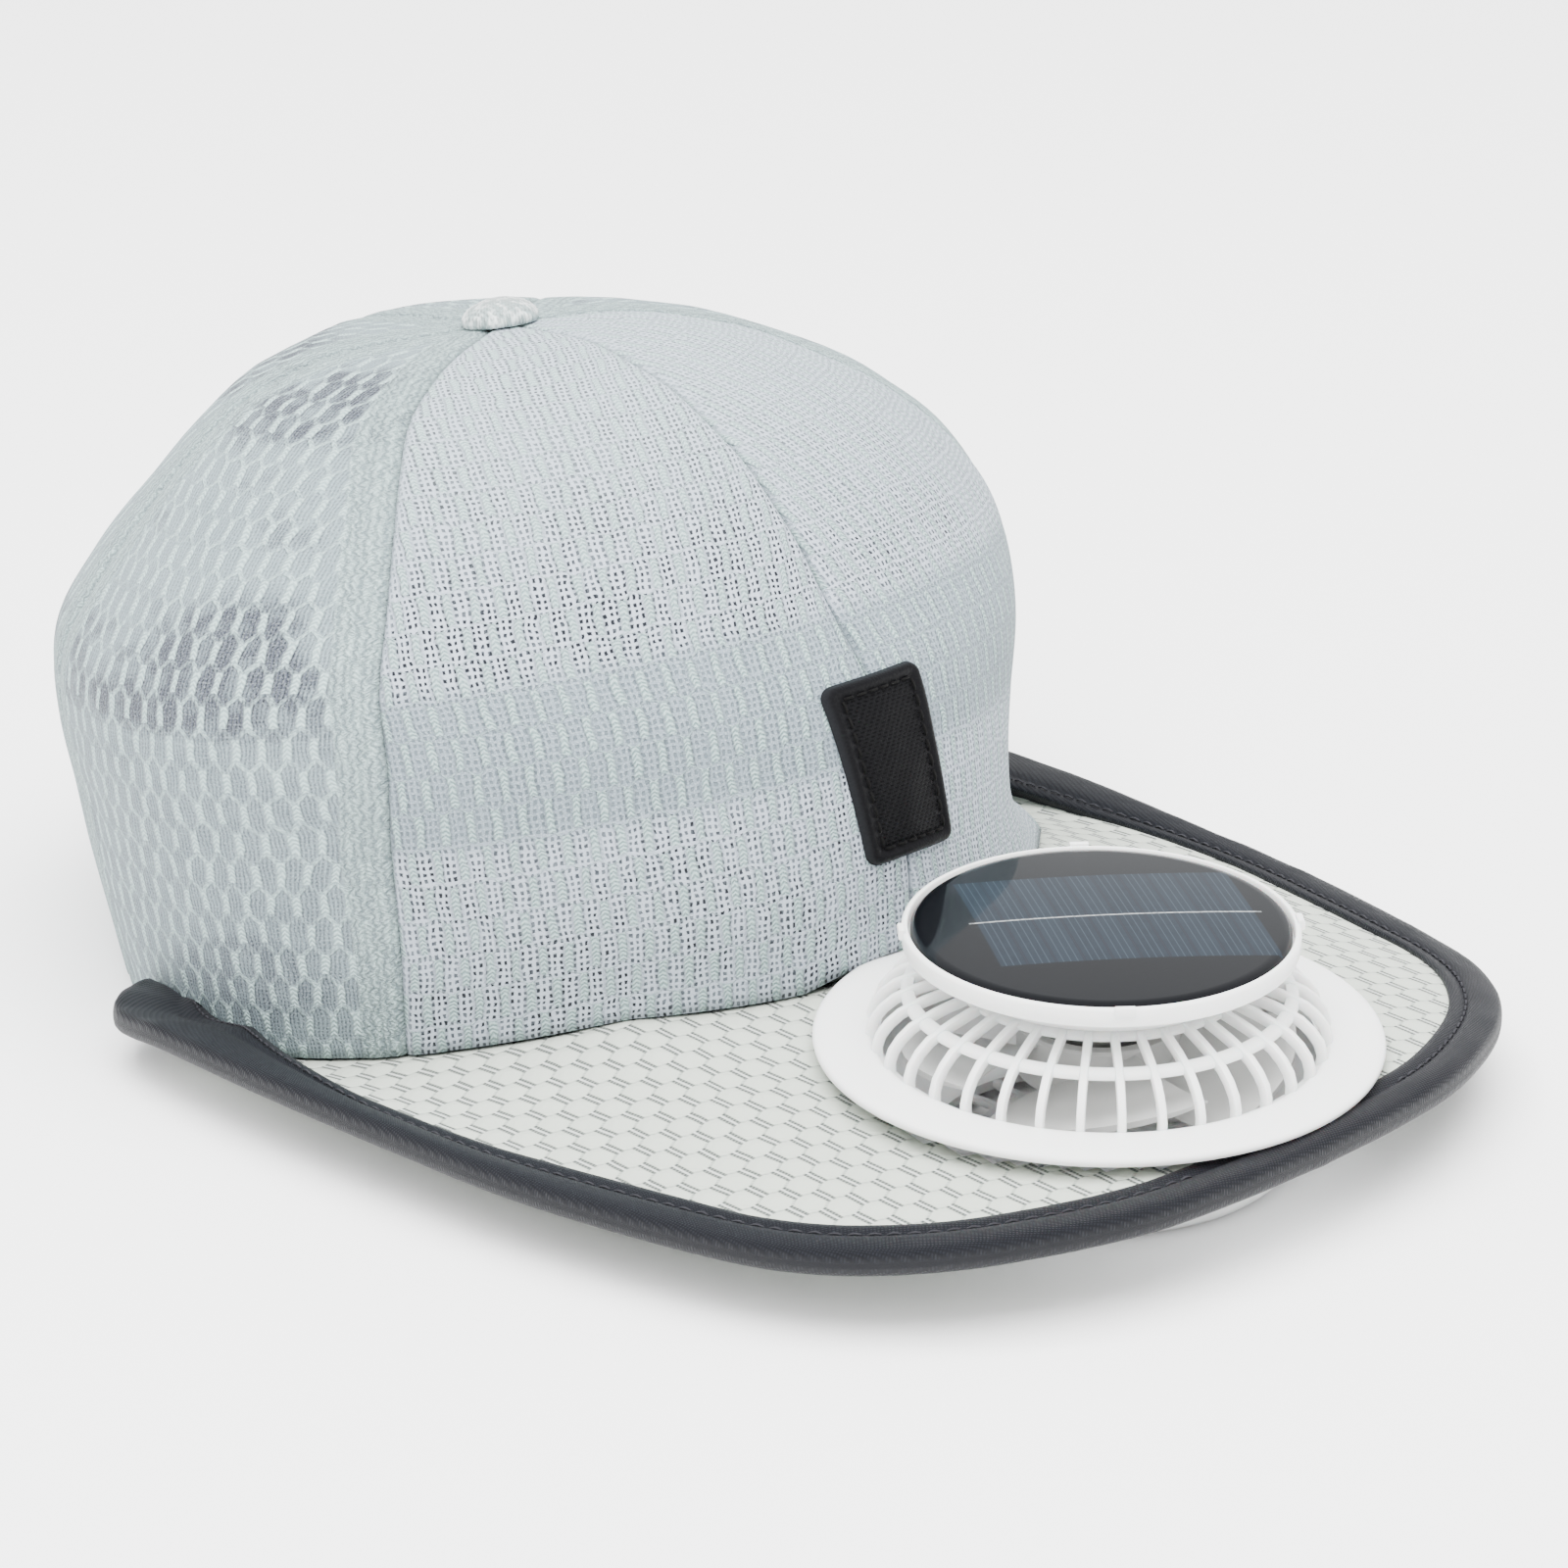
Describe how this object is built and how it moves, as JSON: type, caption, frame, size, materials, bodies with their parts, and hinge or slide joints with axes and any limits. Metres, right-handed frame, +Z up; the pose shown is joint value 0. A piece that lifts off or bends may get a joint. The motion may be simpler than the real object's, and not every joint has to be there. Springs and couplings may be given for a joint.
{
  "type": "solar fan hat",
  "caption": "Cloth sun cap with a wide flat brim, a fan let into the brim that blows on the face, and a round solar cell that drives it.",
  "frame": {"origin": "centre of the bounding box at floor level, with the cap lying on its fan guard and the hem of its crown", "axes": "+X toward the wearer's left, -Y toward the front of the brim, +Z up from the floor"},
  "size_m": [0.2124, 0.3068, 0.1264],
  "materials": {
    "crown_front_mesh": "open mesh over a fine grid, matt",
    "crown_side_mesh": "open honeycomb mesh, matt",
    "button_cloth": "smooth, slightly glossy",
    "patch": "black, fine twill grain",
    "brim_mesh": "cream mesh, matt",
    "tape": "dark navy woven tape",
    "white_plastic": "satin white",
    "motor_can": "satin",
    "rotor_plastic": "translucent grey",
    "solar_cell": "glossy black resin over blue-grey cells"
  },
  "bodies": {
    "cap": {"panel_front_right": "crown_front_mesh", "panel_front_left": "crown_front_mesh", "panel_side_left": "crown_side_mesh", "panel_back_left": "crown_side_mesh", "panel_back_right": "crown_side_mesh", "panel_side_right": "crown_side_mesh", "top_button": "button_cloth", "front_patch": "patch", "brim": "brim_mesh", "brim_binding": "tape", "fan_housing": "white_plastic", "fan_guard": "white_plastic", "fan_motor": "motor_can", "solar_dish": "white_plastic", "solar_disc": "solar_cell"},
    "rotor": {"fan_rotor": "rotor_plastic"}
  },
  "joints": [
    {"name": "fan_spin", "type": "hinge", "parent": "cap", "child": "rotor", "pos_m": [0, -0.09895, 0.02139], "axis": [0, -0.0314, 0.9995], "continuous": true}
  ]
}
